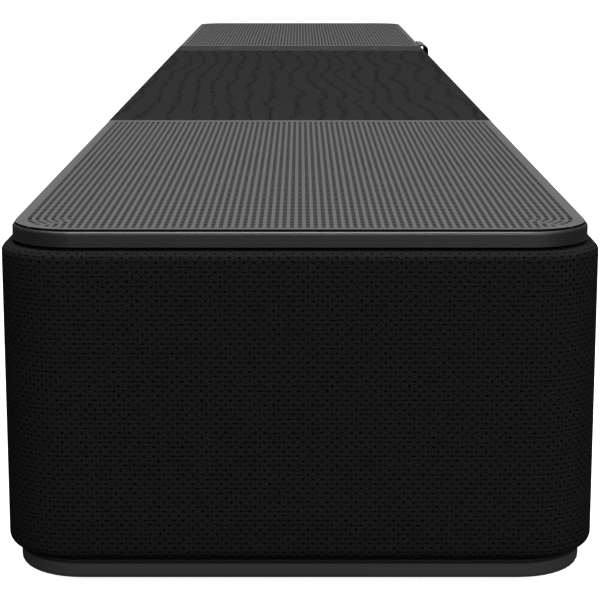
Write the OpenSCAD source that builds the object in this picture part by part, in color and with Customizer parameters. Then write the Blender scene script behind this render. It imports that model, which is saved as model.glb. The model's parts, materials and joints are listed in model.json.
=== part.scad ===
// Soundbar: two up-firing woofers, two front full-range drivers, a top control strip and a rear socket recess.
// X runs along the bar, -Y faces the listener, +Z is up, and the origin is on the floor under the centre.

/* [Body] */
// Length of the cloth-covered body
body_l = 708.2; // [706:0.1:726]
// Depth of the cloth-covered body
body_d = 122.8; // [122.4:0.1:126]
// Corner radius of the body in plan
body_r = 14; // [13.5:0.1:18]
// Height of the cloth band
cloth_h = 64; // [63.5:0.1:66]
// Thickness of the speaker cloth
cloth_t = 1.2; // [1:0.1:1.4]
// Wall thickness of the cabinet
wall = 5; // [4.5:0.1:5.5]

/* [Top plate] */
// Gap from the top plate's edge to the cloth's outer face
plate_inset = 2.1; // [1.9:0.1:2.2]
// Corner radius of the top plate
plate_r = 13.1; // [12:0.1:14]
// Gap between the cloth and the top plate
plate_gap = 0.7; // [0.6:0.1:1.5]
// Height of the trim's outer rim
rim_h = 3.1; // [3:0.1:4]
// Height of the sheets above the trim's rim
sheet_proud = 0.5; // [0.3:0.1:0.8]
// Thickness of the grille, wood and control sheets
sheet_t = 1; // [0.9:0.1:1.2]
// Length of each grille, measured from the plate's end
grille_l = 191.3; // [182:0.1:195]
// Length of the control strip
strip_l = 31.3; // [30:0.1:34]
// Pitch of the grille's slots
slot_pitch = 1.595; // [1.55:0.001:1.602]
// Width of a grille slot
slot_w = 0.8; // [0.6:0.05:0.9]

/* [Base] */
// Gap from the base plate's edge to the cloth's outer face
base_inset = 2.1; // [1.9:0.1:2.4]
// Height of the base plate
base_h = 3.3; // [3:0.1:4]
// Height of the recessed plinth between the base plate and the cloth
plinth_h = 1.6; // [1.2:0.1:2]
// Height of the rubber feet below the base plate
foot_h = 4.8; // [4:0.1:8]
// Length of a rubber foot
foot_l = 36; // [25:1:45]
// Width of a rubber foot
foot_w = 14; // [10:1:18]

/* [Controls] */
// Width of a push button
button_w = 20; // [16:0.5:21]
// Pitch of the push buttons
button_pitch = 24; // [23.5:0.1:25]
// Travel of a push button
button_travel = 0.6; // [0.4:0.1:0.6]

/* [Drivers] */
// Distance of each woofer from the centre
woofer_x = 219; // [218:1:222]
// Distance of each full-range driver from the centre
driver_x = 299; // [299:1:300]
// Travel of a woofer's cone each way
woofer_travel = 3; // [1:0.5:3]
// Travel of a full-range cone each way
driver_travel = 1.5; // [0.5:0.5:1.5]

/* [Rear] */
// Length of the rear socket recess
recess_l = 130; // [126:1:134]
// Height of the rear socket recess
recess_h = 20; // [19:0.5:21]
// Distance between the two wall-mount inserts
insert_spacing = 508; // [500:1:520]

/* [Hidden] */
$fn = 64;
left = -1;
right = 1;
front = -1;
rear = 1;
eps = 0.5;              // how far a cutting tool runs past the face that it cuts

// Heights, from the floor up
base_top = foot_h + base_h;
body_z = base_top + plinth_h;
body_top = body_z + cloth_h;
plate_z = body_top + plate_gap;
rim_top = plate_z + rim_h;
top_z = rim_top + sheet_proud;
sheet_z = top_z - sheet_t;

// Cabinet and its lid
cab_l = body_l - 2 * cloth_t;
cab_d = body_d - 2 * cloth_t;
cab_r = body_r - cloth_t;
cab_z = body_z + cloth_t;
cab_top = body_top - cloth_t;
top_round = 1.6;        // roundness of the cloth at its upper rim
low_round = 2.3;        // and at its lower rim
top_hem = 5.5;            // how far the cloth reaches inwards over the cabinet
bottom_hem = 3.4;       // how far it reaches inwards below the cabinet
plinth_inset = 3.6;     // from the cloth's outer face to the plinth
lip_z = base_top + 0.35;
lip_h = 0.45;
in_l = cab_l - 2 * wall;
in_d = cab_d - 2 * wall;
in_r = cab_r - wall;
deck_t = 4;
deck_top = body_top - 3;
deck_z = deck_top - deck_t;
ledge = 2;              // how far the lid's rebate is cut into the wall
fit_gap = 0.2;
spigot_h = 3;
inside_z = base_top + spigot_h;
inside_h = deck_z - inside_z;
bulkhead_x = 158;
bulkhead_t = 3;
boss_r = 5;
boss_x = [112, 333];
boss_y = 46;

// Top plate
plate_l = body_l - 2 * plate_inset;
plate_d = body_d - 2 * plate_inset;
rim_w = 0.6;            // width of the trim's rim beside the grilles
side_rim_w = 0.4;       // width of the trim's rim beside the wood and the control strip
neck_inset = 4;
neck_l = plate_l - 2 * neck_inset;
neck_r = plate_r - neck_inset;
well_d = 102;           // depth of the hollow inside the neck
neck_d = well_d + 8;
strip_x = plate_l / 2 - grille_l - strip_l / 2;
wood_l = plate_l - 2 * grille_l - strip_l;
wood_x = -(plate_l / 2 - grille_l - wood_l / 2);
slot_rows = 35;         // rows on each side of the middle row
slot_end = 2.4;         // solid border at the plate's end
slot_inner_end = 3.5;   // solid border beside the wood and the control strip
stake_x = [100, 300];
stake_y = (well_d + neck_d) / 4;

// Badge tab, bent from sheet
tab_t = 0.8;
tab_w = 27;
tab_x = plate_l / 2 - grille_l + tab_w / 2 + 2.2;
tab_top = top_z + 0.3;
tab_front = body_d / 2 + 1.9;
tab_bend = 3;
tab_bottom = 50;

// Base
base_l = body_l - 2 * base_inset;
base_d = body_d - 2 * base_inset;
base_r = 14.2;
base_round = 1.2;
foot_x = 300;
foot_y = 40;
foot_sink = 1;
foot_r = foot_w / 2 - 1;

// Screws
shank_r = 1.5;
clear_r = 1.65;
pilot_r = 1.55;
long_head_h = 1.8;
short_head_h = 0.9;
head_r = 2.7;

// Woofers: heights are measured from the lid's top face
w_flange = 100;
w_flange_t = 2.5;
w_screw = 42;
w_cutout_r = 46.75;
w_coil_r = 12.95;       // outer radius of the voice coil
w_cone_r = 39.7;
w_edge_gap = 0.3;       // from the cone to the surround
w_roll_r = 3.3;
w_roll_t = 1;

// Full-range drivers: heights are measured from the bottom of their rebate, outwards
d_z = (cab_z + deck_z) / 2;
d_rebate = 3;
d_flange = 52;
d_flange_t = 2;
d_screw = 22;
d_cutout_r = 24;
d_seat_y = cab_d / 2 - d_rebate;

// Boards and sockets
board_t = 1.6;
key_board_t = 1.2;
board_z = 23.4;
board_top = board_z + board_t;
board_y = [-42, 41.8];
main_x = [-30, 100];
power_x = [-100, -34];
post_r = 3;
panel_t = 2.4;          // rear panel's flange
panel_wall = 2;
recess_z = 31;          // height of the recess's centre
recess_back = 44;       // where the recess's back wall faces the rear
panel_l = recess_l + 26;
panel_h = recess_h + 18;
panel_screw = [panel_l / 2 - 5, panel_h / 2 - 4];
inlet_x = -48;
inlet_z = board_top + 7;
hdmi_x = -14;
optical_x = 8;
usb_x = 28;
sub_x = 50;
sub_z = board_top + 8;
jack_r = 4.15;
jack_l = 9;
socket_front = recess_back + 0.6;
socket_back = 30;
insert_z = 56;
insert_r = 4;
insert_l = 10;
insert_bore_r = 2.1;
lead = [2.4, 1.2];      // width and thickness of a flat twin lead
lead_drop_x = main_x[1] + 5;
woofer_lead_y = 38;
driver_lead_y = -22;
lens = [40, 8];
lens_z = 26;

// ---------- shared shapes ----------

module rounded(l, d, r) {
  square([l, d - 2 * r], center = true);
  square([l - 2 * r, d], center = true);
  for (x = [-1, 1], y = [-1, 1])
    translate([x * (l / 2 - r), y * (d / 2 - r)]) circle(r);
}

module slab(l, d, r, z, h) {
  translate([0, 0, z]) linear_extrude(h) rounded(l, d, r);
}

module block(x, y, z) {
  translate([x[0], y[0], z[0]]) cube([x[1] - x[0], y[1] - y[0], z[1] - z[0]]);
}

// Sweeps a profile round a rounded rectangle: its x is the distance outwards from the outline, its y the height.
module around(l, d, r) {
  for (a = [0, 180]) rotate(a) {
    translate([0, d / 2, 0]) rotate([90, 0, 90]) linear_extrude(l - 2 * r, center = true) children();
    rotate(-90) translate([0, l / 2, 0]) rotate([90, 0, 90])
      linear_extrude(d - 2 * r, center = true) children();
    translate([l / 2 - r, d / 2 - r, 0]) rotate_extrude(angle = 90) translate([r, 0]) children();
    translate([r - l / 2, d / 2 - r, 0]) rotate(90) rotate_extrude(angle = 90) translate([r, 0]) children();
  }
}

// A pan-head screw, its head's underside at the origin and its shank pointing down.
module screw(head_h, length) {
  cylinder(head_h, head_r, head_r);
  translate([0, 0, -length]) cylinder(length + head_h / 2, shank_r, shank_r);
}

module boss_places() {
  for (x = boss_x, sx = [-1, 1], sy = [-1, 1]) translate([sx * x, sy * boss_y, 0]) children();
}

module square_places(half) {
  for (x = [-1, 1], y = [-1, 1]) translate([x * half, y * half, 0]) children();
}

module woofer_at(side) {
  translate([side * woofer_x, 0, deck_top]) children();
}

module driver_at(side) {
  translate([side * driver_x, -d_seat_y, d_z]) rotate([90, 0, 0]) children();
}

// Puts something that points up so that it points out of the rear panel's flange.
module rear_at(x, z, y) {
  translate([x, y, z]) rotate([-90, 0, 0]) children();
}

// ---------- casing ----------

module base_plate() {
  color("#343434") difference() {
    union() {
      around(base_l, base_d, base_r) translate([-4, foot_h]) base_edge();
      slab(base_l - 8, base_d - 8, base_r - 4, foot_h, base_h);
      slab(in_l - 4 * fit_gap, in_d - 4 * fit_gap, in_r - 2 * fit_gap, base_top, spigot_h);
      for (x = concat(main_x, power_x), y = board_y)
        translate([x + (x == main_x[1] || x == power_x[1] ? -5 : 5), y * 0.88, inside_z])
          cylinder(board_z - inside_z, post_r, post_r);
    }
    boss_places() {
      translate([0, 0, foot_h - eps]) cylinder(base_h + spigot_h + 2 * eps, clear_r, clear_r);
      translate([0, 0, foot_h - eps]) cylinder(long_head_h + 0.2 + eps, head_r + 0.4, head_r + 0.4);
    }
    for (x = [-1, 1], y = [-1, 1])
      translate([x * foot_x, y * foot_y, 0])
        slab(foot_l + 0.4, foot_w + 0.4, foot_r + 0.2, foot_h - eps, foot_sink + eps);
  }
}

module base_edge() {
  translate([0, base_round]) square([4, base_h - base_round]);
  square([4 - base_round, base_h]);
  translate([4 - base_round, base_round]) circle(base_round);
}

module cabinet() {
  color("#262626") difference() {
    union() {
      difference() {
        union() {
          slab(cab_l, cab_d, cab_r, cab_z, cab_top - cab_z);
          slab(body_l - 2 * plinth_inset, body_d - 2 * plinth_inset, body_r - plinth_inset, base_top, 3);
          slab(base_l, base_d, base_r, lip_z, lip_h);
        }
        slab(in_l, in_d, in_r, base_top - eps, cab_top - base_top + 2 * eps);
        slab(in_l + 2 * ledge, in_d + 2 * ledge, in_r + ledge, deck_z, cab_top - deck_z + eps);
      }
      for (side = [left, right])
        block([side * bulkhead_x - bulkhead_t / 2, side * bulkhead_x + bulkhead_t / 2],
          [-in_d / 2 - 1, in_d / 2 + 1], [inside_z, deck_z]);
      boss_places() translate([0, 0, inside_z]) cylinder(inside_h, boss_r, boss_r);
      for (x = boss_x, sx = [-1, 1], sy = [-1, 1])
        translate([sx * x, sy * (boss_y + in_d / 2 + 1) / 2, inside_z + inside_h / 2])
          cube([4, in_d / 2 + 1 - boss_y, inside_h], center = true);
      for (side = [left, right])
        rear_at(side * insert_spacing / 2, insert_z, in_d / 2 - 6) cylinder(7, 7, 7);
    }
    boss_places() {
      translate([0, 0, inside_z - eps]) cylinder(12, pilot_r, pilot_r);
      translate([0, 0, deck_z - 12]) cylinder(12 + eps, pilot_r, pilot_r);
    }
    for (side = [left, right]) {
      driver_at(side) {
        slab(d_flange + 0.4, d_flange + 0.4, 6.2, 0, d_rebate + eps);
        translate([0, 0, -wall]) cylinder(wall + eps, d_cutout_r, d_cutout_r);
        square_places(d_screw) translate([0, 0, -wall]) cylinder(wall + eps, pilot_r, pilot_r);
      }
      rear_at(side * insert_spacing / 2, insert_z, cab_d / 2 - insert_l)
        cylinder(insert_l + eps, insert_r, insert_r);
      for (y = [woofer_lead_y, driver_lead_y])
        block([side * bulkhead_x - 2, side * bulkhead_x + 2], [y - 3, y + 3], [inside_z - eps, inside_z + 4]);
    }
    block([-recess_l / 2 - panel_wall - fit_gap, recess_l / 2 + panel_wall + fit_gap],
      [in_d / 2 - 2, cab_d / 2 + eps],
      [recess_z - recess_h / 2 - panel_wall - fit_gap, recess_z + recess_h / 2 + panel_wall + fit_gap]);
    for (x = [-1, 1], z = [-1, 1])
      rear_at(x * panel_screw[0], recess_z + z * panel_screw[1], in_d / 2 - 1)
        cylinder(wall + 2, pilot_r, pilot_r);
    block([-lens[0] / 2, lens[0] / 2], [-cab_d / 2 - eps, -in_d / 2 + eps], [lens_z - lens[1] / 2, lens_z + lens[1] / 2]);
  }
}

module top_deck() {
  color("#121212") difference() {
    union() {
      difference() {
        union() {
          slab(in_l + 2 * (ledge - fit_gap), in_d + 2 * (ledge - fit_gap), in_r + ledge - fit_gap, deck_z,
            cab_top - deck_z);
          slab(neck_l, neck_d, neck_r, cab_top - eps, plate_z - cab_top + eps);
        }
        slab(neck_l - 10, well_d, 5, deck_top, plate_z);
      }
      for (x = [-162, -60, 40, 122, 165])
        block([x - 2, x + 2], [-well_d / 2 - 1, well_d / 2 + 1], [deck_top - 0.5, plate_z]);
    }
    for (side = [left, right]) woofer_at(side) {
      translate([0, 0, -deck_t - eps]) cylinder(deck_t + 2 * eps, w_cutout_r, w_cutout_r);
      square_places(w_screw) translate([0, 0, -deck_t - eps]) cylinder(deck_t + 2 * eps, pilot_r, pilot_r);
    }
    boss_places() translate([0, 0, deck_z - eps]) cylinder(deck_t + 2 * eps, clear_r, clear_r);
    for (x = stake_x, sx = [-1, 1], sy = [-1, 1])
      translate([sx * x, sy * stake_y, plate_z - 2.5]) cylinder(2.5 + eps, 1.6, 1.6);
    block([strip_x - 1, strip_x + 1], [-7, 7], [deck_z - eps, deck_top + eps]);
  }
}

module top_trim() {
  color("#303030") difference() {
    union() {
      around(plate_l, plate_d, plate_r) translate([-4, plate_z]) trim_edge();
      slab(plate_l - 8, plate_d - 8, plate_r - 4, plate_z, rim_h);
      for (x = stake_x, sx = [-1, 1], sy = [-1, 1])
        translate([sx * x, sy * stake_y, plate_z - 2]) cylinder(3, 1.5, 1.5);
    }
    slab(plate_l - 2 * rim_w, plate_d - 2 * rim_w, plate_r - rim_w, sheet_z, rim_h);
    block([wood_x - wood_l / 2, strip_x + strip_l / 2],
      [side_rim_w - plate_d / 2, plate_d / 2 - side_rim_w], [sheet_z, rim_top + eps]);
    for (side = [left, right])
      translate([side * (plate_l / 2 - grille_l / 2), 0, 0])
        slab(grille_l - 12, 101, 8, plate_z - eps, rim_h);
    block([strip_x - 13.4, strip_x + 13.4], [-50, 50], [plate_z - eps, sheet_z + eps]);
    block([tab_x - tab_w / 2 - 0.1, tab_x + tab_w / 2 + 0.1], [-plate_d / 2 - eps, rim_w + 0.1 - plate_d / 2],
      [plate_z - eps, rim_top + eps]);
  }
}

module trim_edge() {
  square([4 - rim_w, rim_h]);
  square([4, rim_h - rim_w]);
  translate([4 - rim_w, rim_h - rim_w]) circle(rim_w);
}

module grille(side) {
  end = plate_l / 2;
  turn = plate_d / 2 - plate_r;
  reach = plate_r - slot_end;
  color("#6b6b6b") translate([0, 0, sheet_z]) linear_extrude(sheet_t) difference() {
    intersection() {
      rounded(plate_l - 2 * rim_w, plate_d - 2 * rim_w, plate_r - rim_w);
      translate([side * (end - grille_l / 2), 0]) square([grille_l - 0.1, plate_d], center = true);
    }
    for (k = [-slot_rows:slot_rows]) {
      y = k * slot_pitch;
      past = max(abs(y) - turn, 0);
      out = end - plate_r + sqrt(max(reach * reach - past * past, 0));
      in = end - grille_l + slot_inner_end;
      translate([side * (out + in) / 2, y]) square([out - in, slot_w], center = true);
    }
  }
}

module wood_panel() {
  color("#2f2d2c") translate([wood_x, 0, sheet_z])
    linear_extrude(sheet_t) square([wood_l - 0.1, plate_d - 2 * side_rim_w - 0.1], center = true);
}

module control_strip() {
  color("#3d3d3d") translate([strip_x, 0, sheet_z]) linear_extrude(sheet_t) difference() {
    square([strip_l - 0.1, plate_d - 2 * side_rim_w - 0.1], center = true);
    for (i = [0:3]) translate([0, (i - 1.5) * button_pitch]) rounded(button_w + 0.5, button_w + 0.5, 3.25);
  }
}

module button(i) {
  color("#3d3d3d") translate([strip_x, (i - 1.5) * button_pitch, 0]) {
    slab(button_w, button_w, 3, sheet_z - 0.8, sheet_t + 0.8);
    slab(button_w + 1.6, button_w + 1.6, 3.8, sheet_z - 0.8, 0.6);
    translate([0, 0, sheet_z - 1]) cylinder(0.5, 2, 2);
  }
}

module badge_tab() {
  bend_y = tab_front - tab_bend;
  bend_z = tab_top - tab_bend;
  color("#6e6e6e") translate([tab_x, 0, 0]) rotate([90, 0, -90])
    linear_extrude(tab_w, center = true) {
      translate([bend_y + tab_bend - tab_t, tab_bottom]) square([tab_t, bend_z - tab_bottom]);
      translate([plate_d / 2 - rim_w, tab_top - tab_t]) square([bend_y - plate_d / 2 + rim_w, tab_t]);
      translate([plate_d / 2 - rim_w, plate_z + 0.3]) square([tab_t, tab_top - plate_z - 0.3]);
      translate([bend_y, bend_z]) intersection() {
        difference() {
          circle(tab_bend);
          circle(tab_bend - tab_t);
        }
        square(tab_bend);
      }
    }
}

module fabric_wrap() {
  color("#161616") difference() {
    around(body_l, body_d, body_r) translate([0, body_z]) cloth_section();
    translate([0, cab_d / 2 - 3, recess_z]) rotate([-90, 0, 0])
      slab(panel_l + 0.6, panel_h + 0.6, 4.3, 0, 8);
    for (side = [left, right])
      rear_at(side * insert_spacing / 2, insert_z, cab_d / 2 - 1) cylinder(4, 4.5, 4.5);
  }
}

module cloth_section() {
  difference() {
    union() {
      translate([-top_hem, low_round]) square([top_hem, cloth_h - low_round - top_round]);
      translate([-top_hem, 0]) square([top_hem - low_round, low_round + eps]);
      translate([-top_hem, cloth_h - top_round - eps]) square([top_hem - top_round, top_round + eps]);
      translate([-low_round, low_round]) circle(low_round);
      translate([-top_round, cloth_h - top_round]) circle(top_round);
    }
    translate([-8, cloth_t]) square([8 - cloth_t, cloth_h - 2 * cloth_t]);
    translate([-8, -eps]) square([8 - bottom_hem, cloth_t + 2 * eps]);
  }
}

module rear_panel() {
  color("#1e1e1e") difference() {
    union() {
      translate([0, cab_d / 2, recess_z]) rotate([-90, 0, 0]) slab(panel_l, panel_h, 4, 0, panel_t);
      block([-recess_l / 2 - panel_wall, recess_l / 2 + panel_wall], [recess_back - panel_wall, cab_d / 2 + 1],
        [recess_z - recess_h / 2 - panel_wall, recess_z + recess_h / 2 + panel_wall]);
    }
    block([-recess_l / 2, recess_l / 2], [recess_back, cab_d / 2 + panel_t + eps],
      [recess_z - recess_h / 2, recess_z + recess_h / 2]);
    for (x = [-1, 1], z = [-1, 1])
      rear_at(x * panel_screw[0], recess_z + z * panel_screw[1], cab_d / 2 - eps) {
        cylinder(panel_t + 2 * eps, clear_r, clear_r);
        translate([0, 0, panel_t - 1.2 + eps]) cylinder(2, head_r + 0.3, head_r + 0.3);
      }
    socket_hole(inlet_x, 22, board_top, 14);
    socket_hole(hdmi_x, 15.2, board_top, 6);
    socket_hole(optical_x, 12, board_top, 12);
    socket_hole(usb_x, 14.6, board_top, 7.4);
    rear_at(sub_x, sub_z, recess_back - panel_wall - eps) cylinder(panel_wall + 2 * eps, 4.3, 4.3);
  }
}

module socket_hole(x, w, z, h) {
  block([x - w / 2, x + w / 2], [recess_back - panel_wall - eps, recess_back + eps], [z, z + h]);
}

module foot(sx, sy) {
  color("#151515") translate([sx * foot_x, sy * foot_y, 0]) {
    slab(foot_l - 1.6, foot_w - 1.6, foot_r - 0.8, 0, 1);
    slab(foot_l, foot_w, foot_r, 1, foot_h + foot_sink - 1);
  }
}

// ---------- controls ----------

module control_board() {
  color("#1f5a34") difference() {
    block([strip_x - 12.5, strip_x + 12.5], [-49, 49], [deck_top, deck_top + key_board_t]);
    for (y = [-46.5, 46.5]) translate([strip_x, y, deck_top - eps]) cylinder(key_board_t + 2 * eps, 1.6, 1.6);
  }
}

module tact_switches() {
  base = deck_top + key_board_t;
  color("#b9b9bd") for (i = [0:3]) translate([strip_x, (i - 1.5) * button_pitch, base]) {
    translate([-3, -3, 0]) cube([6, 6, sheet_z - 2 - base]);
    cylinder(sheet_z - 1.7 - base, 1.7, 1.7);
  }
}

// ---------- woofers ----------

module woofer_basket(side) {
  color("#8b8d90") woofer_at(side) difference() {
    union() {
      slab(w_flange, w_flange, 12, 0, w_flange_t);
      rotate_extrude() polygon([[44.8, 0.1], [46.2, 0.1], [36.5, -22], [36.5, -24], [14.5, -24], [14.5, -22.4],
        [34.8, -22.4]]);
      rotate_extrude() polygon([[35, -16.2], [39, -16.2], [39.4, -15.2], [35, -15.2]]);
    }
    translate([0, 0, -0.4]) cylinder(w_flange_t + 1, w_cone_r + w_edge_gap + 1.4, w_cone_r + w_edge_gap + 1.4);
    for (a = [45:90:315]) rotate(a) translate([40, 0, -18]) cube([30, 30, 3], center = true);
    for (a = [45:90:315]) rotate(a) translate([42, 0, -7]) cube([14, 26, 9], center = true);
    square_places(w_screw) translate([0, 0, -eps]) cylinder(w_flange_t + 2 * eps, clear_r, clear_r);
  }
}

module woofer_magnet(side) {
  color("#5a5b60") woofer_at(side) rotate_extrude()
    polygon([[0, -45], [33, -45], [33, -42], [35, -42], [35, -28], [30, -28], [30, -24], [13.35, -24],
      [13.35, -28], [18, -28], [18, -42], [12.15, -42], [12.15, -24], [0, -24]]);
}

module woofer_surround(side) {
  middle = w_cone_r + w_edge_gap + w_roll_r;
  color("#1a1a1a") woofer_at(side) rotate_extrude() translate([0, w_flange_t]) {
    intersection() {
      translate([middle, 0]) difference() {
        circle(w_roll_r);
        circle(w_roll_r - w_roll_t);
      }
      square(60);
    }
    translate([middle + w_roll_r - 0.3, 0]) square([2.6, 0.9]);
  }
}

module woofer_spider(side) {
  color("#c79a4a") woofer_at(side) rotate_extrude() difference() {
    translate([w_coil_r + 0.3, -15.2]) square([24, 0.8]);
    for (r = [17:3:32]) translate([r, -15.2]) square([1.4, 0.3]);
  }
}

module woofer_voice_coil(side) {
  color("#b4693a") woofer_at(side) rotate_extrude() translate([w_coil_r - 0.4, -34]) square([0.4, 26]);
}

module woofer_cone(side) {
  color("#303236") woofer_at(side) rotate_extrude()
    polygon([[w_coil_r, -9], [w_coil_r + 1, -9], [w_cone_r, 1.6], [w_cone_r, w_flange_t], [w_coil_r, -8]]);
}

module woofer_dust_cap(side) {
  color("#222326") woofer_at(side) rotate_extrude()
    polygon([[0, -2], [6, -2.7], [10, -4.1], [14, -6.4], [15.6, -6.95], [15.6, -6.1], [10.3, -3.3],
      [6, -1.9], [0, -1.2]]);
}

// ---------- full-range drivers ----------

module driver_frame(side) {
  color("#2a2b2e") driver_at(side) difference() {
    union() {
      slab(d_flange, d_flange, 6, 0, d_flange_t);
      rotate_extrude() polygon([[22, 0.1], [23.4, 0.1], [17.4, -13.5], [17.4, -15], [10.8, -15], [10.8, -13.9],
        [16.2, -13.9]]);
    }
    translate([0, 0, 0.6]) cylinder(d_flange_t, 21.5, 21.5);
    translate([0, 0, -0.5]) cylinder(d_flange_t, 20.4, 20.4);
    for (a = [45:90:315]) rotate(a) translate([21, 0, -7]) cube([10, 14, 8], center = true);
    square_places(d_screw) translate([0, 0, -eps]) cylinder(d_flange_t + 2 * eps, clear_r, clear_r);
  }
}

module driver_magnet(side) {
  color("#5a5b60") driver_at(side) rotate_extrude()
    polygon([[0, -28], [15, -28], [15, -15], [10.45, -15], [10.45, -18], [12.4, -18], [12.4, -25], [9.35, -25],
      [9.35, -15], [0, -15]]);
}

module driver_surround(side) {
  color("#1a1a1a") driver_at(side) rotate_extrude() translate([0, 0.6]) {
    intersection() {
      translate([19.3, 0]) difference() {
        circle(2);
        circle(1.2);
      }
      square(30);
    }
    translate([20.9, 0]) square([0.55, 0.6]);
  }
}

module driver_cone(side) {
  color("#a8aaae") driver_at(side) rotate_extrude() {
    polygon([[9.75, -6.2], [10.6, -6.2], [17, 0.4], [17, 1], [10.4, -5.4], [7, -3.6], [3.5, -2.7], [0, -2.4],
      [0, -3], [3.4, -3.3], [6.8, -4.2], [9.75, -5.8]]);
    translate([9.75, -22]) square([0.3, 16]);
  }
}

// ---------- electronics ----------

module main_board() {
  color("#1f5a34") {
    block(main_x, board_y, [board_z, board_top]);
    block([55, 77], [-26, -10], [board_top - 0.1, board_top + 2.6]);
    block([-4, 12], [-30, -14], [board_top - 0.1, board_top + 1.8]);
    block([20, 32], [6, 18], [board_top - 0.1, board_top + 1.4]);
    block([88, 98], [-8, 8], [board_top - 0.1, board_top + 4]);
    for (x = [40, 54, 68, 82]) translate([x, 12, board_top - 0.1]) cylinder(11, 4, 4);
    for (x = [46, 60, 74]) block([x - 4, x + 4], [22, 30], [board_top - 0.1, board_top + 5]);
  }
}

module heatsink() {
  color("#9a9ca0") {
    block([48, 84], [-34, -2], [board_top + 2.6, board_top + 5.6]);
    for (i = [0:7]) block([48 + i * 4.9, 49.7 + i * 4.9], [-34, -2], [board_top + 5.5, board_top + 24]);
  }
}

module power_board() {
  color("#1f5a34") {
    block(power_x, board_y, [board_z, board_top]);
    for (y = [-28, -8]) translate([-88, y, board_top - 0.1]) cylinder(26, 8, 8);
    block([-97, -80], [10, 20], [board_top - 0.1, board_top + 14]);
    block([-76, -72], [-36, 4], [board_top - 0.1, board_top + 20]);
    for (y = [-34, -22]) translate([-42, y, board_top - 0.1]) cylinder(16, 5, 5);
  }
}

module transformer() {
  color("#d8b23c") {
    block([-70, -50], [-18, 14], [board_top, board_top + 24]);
    block([-72, -48], [-10, 6], [board_top + 3, board_top + 21]);
  }
}

module ribbon_cable() {
  x = 93;
  color("#c8c8cc") {
    block([x, x + 0.6], [-6, 6], [board_top + 4, deck_z - 3]);
    block([x, strip_x + 0.3], [-6, 6], [deck_z - 3.6, deck_z - 3]);
    block([strip_x - 0.3, strip_x + 0.3], [-6, 6], [deck_z - 3.6, deck_top]);
  }
}

module speaker_leads() {
  rise = lead[1] / 2;
  color("#a03028") for (side = [left, right]) mirror([side < 0 ? 1 : 0, 0, 0]) {
    lead_run(woofer_lead_y, woofer_x);
    block([woofer_x - lead[0], woofer_x], [woofer_lead_y - rise, woofer_lead_y + rise], [inside_z + 1, 50]);
    lead_run(driver_lead_y, driver_x);
    block([driver_x - lead[0], driver_x], [driver_lead_y - rise, driver_lead_y + rise], [inside_z + 1, 30]);
    block([driver_x - lead[0], driver_x], [28 - d_seat_y, driver_lead_y + rise], [30 - lead[1], 30]);
  }
}

// A lead from a board's edge down to the floor of the cabinet and along it.
module lead_run(y, end_x) {
  across = [y - lead[0] / 2, y + lead[0] / 2];
  z = inside_z + 1;
  block([main_x[1], lead_drop_x], across, [board_z, board_z + lead[1]]);
  block([lead_drop_x - lead[1], lead_drop_x], across, [z, board_z + lead[1]]);
  block([lead_drop_x - lead[1], end_x], across, [z, z + lead[1]]);
}

module status_light_board() {
  color("#1f5a34") {
    block([-30, 30], [-in_d / 2, board_t - in_d / 2], [lens_z - 8, lens_z + 8]);
    for (x = [-12:8:12]) block([x - 1.5, x + 1.5], [-in_d / 2 + 1.5, 3 - in_d / 2], [lens_z - 1, lens_z + 1]);
  }
}

module status_lens() {
  color("#4a4c50") block([0.1 - lens[0] / 2, lens[0] / 2 - 0.1], [-cab_d / 2, -in_d / 2],
    [lens_z - lens[1] / 2 + 0.1, lens_z + lens[1] / 2 - 0.1]);
}

// ---------- sockets ----------

module socket(x, w, h, hollow_w, hollow_h, depth) {
  z = board_top + h / 2;
  difference() {
    block([x - w / 2, x + w / 2], [socket_back, socket_front], [board_top, board_top + h]);
    block([x - hollow_w / 2, x + hollow_w / 2], [socket_front - depth, socket_front + eps],
      [z - hollow_h / 2, z + hollow_h / 2]);
  }
}

module power_inlet() {
  color("#171717") translate([inlet_x, 0, 0]) difference() {
    block([-11, 11], [socket_back, socket_front], [board_top, board_top + 14]);
    rear_at(0, inlet_z, socket_front - 11) {
      for (x = [-1, 1]) translate([x * 4, 0, 0]) cylinder(12, 4, 4);
      translate([-4, -4, 0]) cube([8, 8, 12]);
    }
    for (x = [-1, 1]) rear_at(x * 4.3, inlet_z, socket_back + 1) cylinder(8, 1.2, 1.2);
  }
}

module power_inlet_pins() {
  color("#c9c9c4") for (x = [-1, 1])
    rear_at(inlet_x + x * 4.3, inlet_z, socket_back + 1) cylinder(12, 1.2, 1.2);
}

module hdmi_port() {
  color("#a6a8ab") {
    socket(hdmi_x, 15, 5.8, 13.9, 4.5, 9);
    block([hdmi_x - 5, hdmi_x + 5], [socket_front - 9.5, socket_front - 2], [board_top + 3.2, board_top + 4.2]);
  }
}

module optical_port() {
  color("#171717") socket(optical_x, 11.8, 11.8, 9, 8.4, 8);
}

module usb_port() {
  color("#a6a8ab") {
    socket(usb_x, 14.4, 7.2, 13.1, 5.8, 10);
    block([usb_x - 5.6, usb_x + 5.6], [socket_front - 10.5, socket_front - 1.5], [board_top + 4, board_top + 5.8]);
  }
}

module sub_out_jack() {
  color("#d0b25a") difference() {
    union() {
      block([sub_x - 6, sub_x + 6], [socket_back, recess_back - panel_wall], [board_top, board_top + 14]);
      rear_at(sub_x, sub_z, socket_back + 2) cylinder(recess_back - socket_back - 2, 4.25, 4.25);
      rear_at(sub_x, sub_z, recess_back - 1) cylinder(jack_l + 1, jack_r, jack_r);
    }
    rear_at(sub_x, sub_z, socket_back + 6) cylinder(30, 1.7, 1.7);
  }
}

// ---------- hardware ----------

module long_screws() {
  color("#8c8c8c") boss_places() {
    translate([0, 0, foot_h + long_head_h + 0.2]) rotate([180, 0, 0]) screw(long_head_h, 14);
    translate([0, 0, deck_top]) screw(long_head_h, 14);
  }
}

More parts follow.
